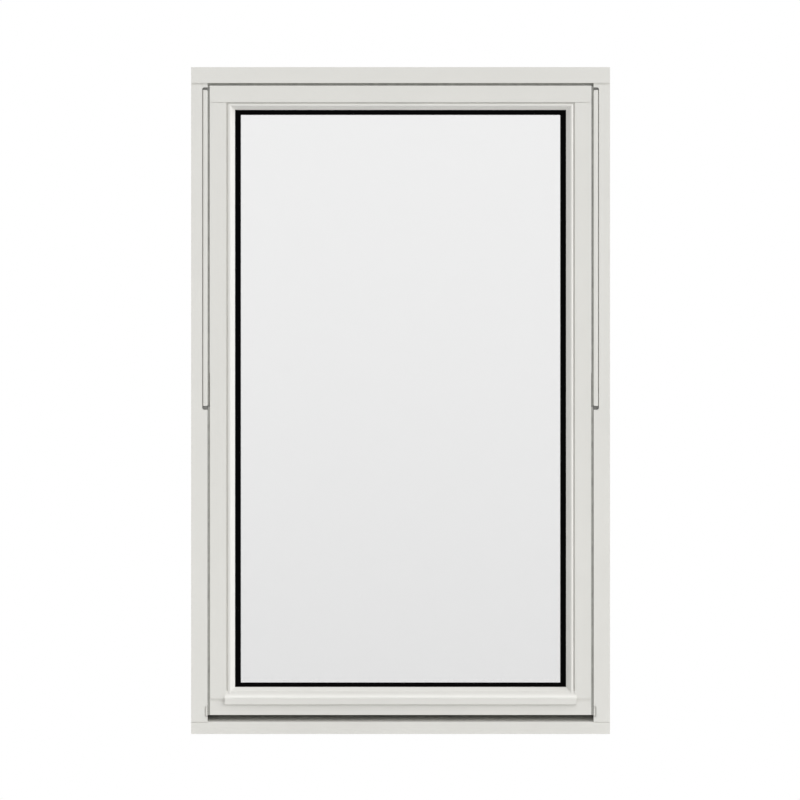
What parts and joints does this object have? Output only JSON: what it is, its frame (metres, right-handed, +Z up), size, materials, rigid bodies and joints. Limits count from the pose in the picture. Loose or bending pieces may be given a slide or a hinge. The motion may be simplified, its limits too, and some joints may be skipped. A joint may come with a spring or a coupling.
{
  "type": "centre pivot window",
  "caption": "Painted timber window with a glazed sash on pivots at mid-height, mitred glazing beads, a drip bead, half-length weather strips and a handle on the bottom rail.",
  "frame": {"origin": "middle of the sill's flat underside", "axes": "+X across the window, +Z up, -Y towards the outside"},
  "size_m": [1, 0.122, 1.592],
  "materials": {
    "frame_paint": "off-white opaque satin paint on planed pine",
    "sash_paint": "off-white opaque satin paint on planed pine",
    "bead_paint": "off-white opaque satin paint on planed pine",
    "strip_paint": "off-white satin coated aluminium strip",
    "plug_rubber": "dark grey rubber",
    "block_plastic": "off-white nylon",
    "seal_rubber": "grey sealing rubber",
    "gasket_rubber": "black rubber of the glazing gaskets and the sill seal",
    "spacer_black": "black warm-edge spacer and sealant",
    "clear_glass": "clear float glass",
    "pivot_steel": "zinc plated steel",
    "handle_metal": "satin anodised aluminium"
  },
  "bodies": {
    "root": {"frame_head": "frame_paint", "frame_sill": "frame_paint", "frame_jamb_left": "frame_paint", "frame_jamb_right": "frame_paint", "inner_stop_left": "frame_paint", "inner_stop_right": "frame_paint", "sash_top_rail": "sash_paint", "sash_bottom_rail": "sash_paint", "sash_stile_left": "sash_paint", "sash_stile_right": "sash_paint", "bead_top": "bead_paint", "bead_left": "bead_paint", "bead_right": "bead_paint", "bead_drip": "bead_paint", "weather_strip_left": "strip_paint", "weather_strip_right": "strip_paint", "strip_plugs_left": "plug_rubber", "strip_plugs_right": "plug_rubber", "run_up_block_left": "block_plastic", "run_up_block_right": "block_plastic", "seal_head": "seal_rubber", "seal_upper_left": "seal_rubber", "seal_upper_right": "seal_rubber", "seal_lower_left": "seal_rubber", "seal_lower_right": "seal_rubber", "seal_stop_left": "seal_rubber", "seal_stop_right": "seal_rubber", "gasket_outer": "gasket_rubber", "gasket_inner": "gasket_rubber", "seal_sill": "gasket_rubber", "spacer_outer": "spacer_black", "spacer_inner": "spacer_black", "pane_outer": "clear_glass", "pane_middle": "clear_glass", "pane_inner": "clear_glass", "pivot_frame_plate_left": "pivot_steel", "pivot_frame_plate_right": "pivot_steel", "pivot_sash_plate_left": "pivot_steel", "pivot_sash_plate_right": "pivot_steel", "pivot_disc_left": "pivot_steel", "pivot_disc_right": "pivot_steel", "handle_rose": "handle_metal", "handle_neck": "handle_metal", "handle_lever": "handle_metal"}
  },
  "joints": []
}
